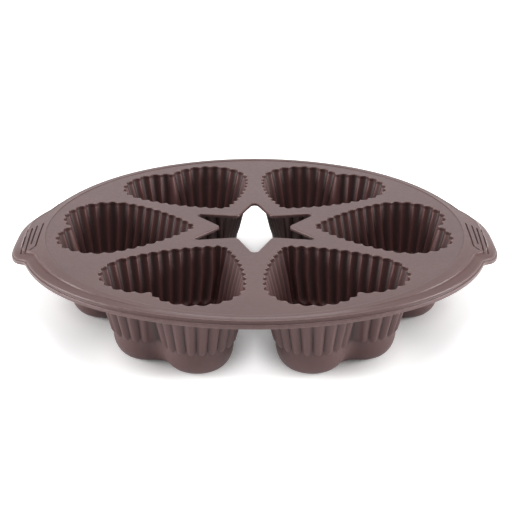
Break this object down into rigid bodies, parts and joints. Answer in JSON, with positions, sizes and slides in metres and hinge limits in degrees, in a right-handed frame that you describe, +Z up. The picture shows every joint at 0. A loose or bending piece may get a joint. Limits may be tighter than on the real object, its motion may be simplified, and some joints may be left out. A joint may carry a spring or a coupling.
{
  "type": "silicone muffin mould",
  "caption": "Round silicone muffin mould with fluted heart cups hung from a flat web, a star-shaped hole in the middle and a grip tab with grooves on each side.",
  "frame": {"origin": "middle of the mould on the plane of the cups' flat floors", "axes": "+X to the right handle, +Y to the back, +Z up"},
  "size_m": [0.27, 0.2462, 0.045],
  "materials": {
    "web_silicone": "satin dusky mauve silicone, flat web",
    "rim_silicone": "satin dusky mauve silicone, rim and grip tabs",
    "cup_silicone": "satin dusky mauve silicone, thin fluted cup walls"
  },
  "bodies": {
    "root": {"top_web": "web_silicone", "rim_front": "rim_silicone", "rim_back": "rim_silicone", "handle_left": "rim_silicone", "handle_right": "rim_silicone", "heart_cup_right": "cup_silicone", "heart_cup_back_right": "cup_silicone", "heart_cup_back_left": "cup_silicone", "heart_cup_left": "cup_silicone", "heart_cup_front_left": "cup_silicone", "heart_cup_front_right": "cup_silicone"}
  },
  "joints": []
}
